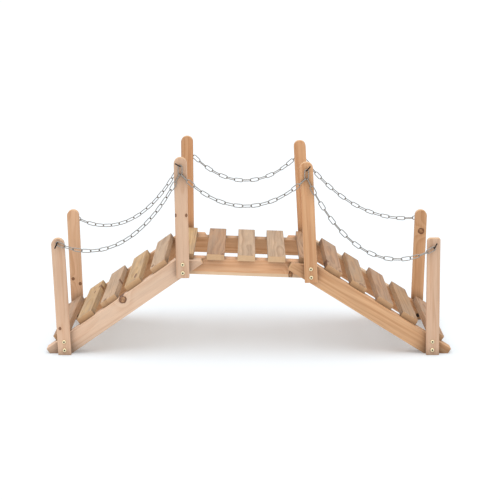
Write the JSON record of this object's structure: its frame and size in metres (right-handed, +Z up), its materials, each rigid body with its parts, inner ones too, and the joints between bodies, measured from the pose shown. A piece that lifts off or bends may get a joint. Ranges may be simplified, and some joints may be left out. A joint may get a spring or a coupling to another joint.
{
  "type": "small wooden garden footbridge",
  "caption": "Small timber garden footbridge: level slatted deck, slatted sloping ends, flat rounded posts and drooping chain rails on hooks.",
  "frame": {"origin": "bottom centre of the bridge's box, on the floor under the middle of the deck", "axes": "+X along the walkway towards the right ramp's foot, +Y across it to the far side, +Z up"},
  "size_m": [1.1048, 0.553, 0.5407],
  "materials": {
    "deck_boards": "sawn pine boards, slightly greyed, satin stain",
    "ramp_boards": "sawn pine boards, slightly greyed, satin stain",
    "beam_timber": "planed square pine with straight grain and small knots",
    "post_timber": "planed flat pine with straight grain and small knots",
    "zinc_chain": "bright zinc plated wire",
    "dark_steel": "dark oxidised steel"
  },
  "bodies": {
    "root": {"deck_plank_1": "deck_boards", "deck_plank_2": "deck_boards", "deck_plank_3": "deck_boards", "deck_plank_4": "deck_boards", "deck_plank_5": "deck_boards", "left_ramp_plank_1": "ramp_boards", "left_ramp_plank_2": "ramp_boards", "left_ramp_plank_3": "ramp_boards", "left_ramp_plank_4": "ramp_boards", "left_ramp_plank_5": "ramp_boards", "right_ramp_plank_1": "ramp_boards", "right_ramp_plank_2": "ramp_boards", "right_ramp_plank_3": "ramp_boards", "right_ramp_plank_4": "ramp_boards", "right_ramp_plank_5": "ramp_boards", "near_deck_beam": "beam_timber", "near_left_chain": "zinc_chain", "near_middle_chain": "zinc_chain", "near_right_chain": "zinc_chain", "near_left_ramp_beam": "beam_timber", "near_left_end_post": "post_timber", "near_left_end_hook": "dark_steel", "near_left_mid_post": "post_timber", "near_left_mid_hook": "dark_steel", "near_right_ramp_beam": "beam_timber", "near_right_end_post": "post_timber", "near_right_end_hook": "dark_steel", "near_right_mid_post": "post_timber", "near_right_mid_hook": "dark_steel", "far_deck_beam": "beam_timber", "far_left_chain": "zinc_chain", "far_middle_chain": "zinc_chain", "far_right_chain": "zinc_chain", "far_left_ramp_beam": "beam_timber", "far_left_end_post": "post_timber", "far_left_end_hook": "dark_steel", "far_left_mid_post": "post_timber", "far_left_mid_hook": "dark_steel", "far_right_ramp_beam": "beam_timber", "far_right_end_post": "post_timber", "far_right_end_hook": "dark_steel", "far_right_mid_post": "post_timber", "far_right_mid_hook": "dark_steel"}
  },
  "joints": []
}
